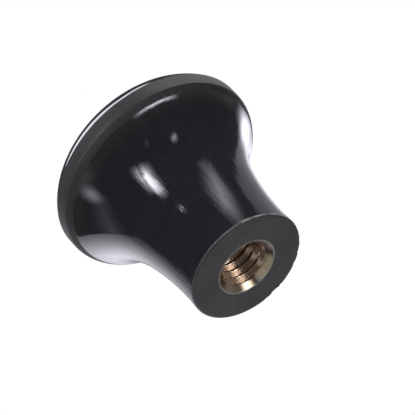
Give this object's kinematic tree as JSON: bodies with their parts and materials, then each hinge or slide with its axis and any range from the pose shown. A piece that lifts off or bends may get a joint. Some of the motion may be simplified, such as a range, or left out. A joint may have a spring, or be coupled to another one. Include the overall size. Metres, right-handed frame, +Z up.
{
  "type": "mushroom knob",
  "caption": "Glossy black moulded mushroom knob with a waisted neck, a matte ground band round its head and a blind threaded brass insert in its flat foot",
  "frame": {"origin": "centre of the flat foot, on the knob's axis", "axes": "+Z runs up the knob's axis from the foot to the crown; X and Y are alike, because the knob is round"},
  "size_m": [0.0318, 0.0318, 0.03],
  "materials": {
    "moulding": "gloss black phenolic, with a matte ground band and a sanded matte foot",
    "insert": "machined, slightly tarnished"
  },
  "bodies": {
    "root": {"knob_body": "moulding", "threaded_insert": "insert"}
  },
  "joints": []
}
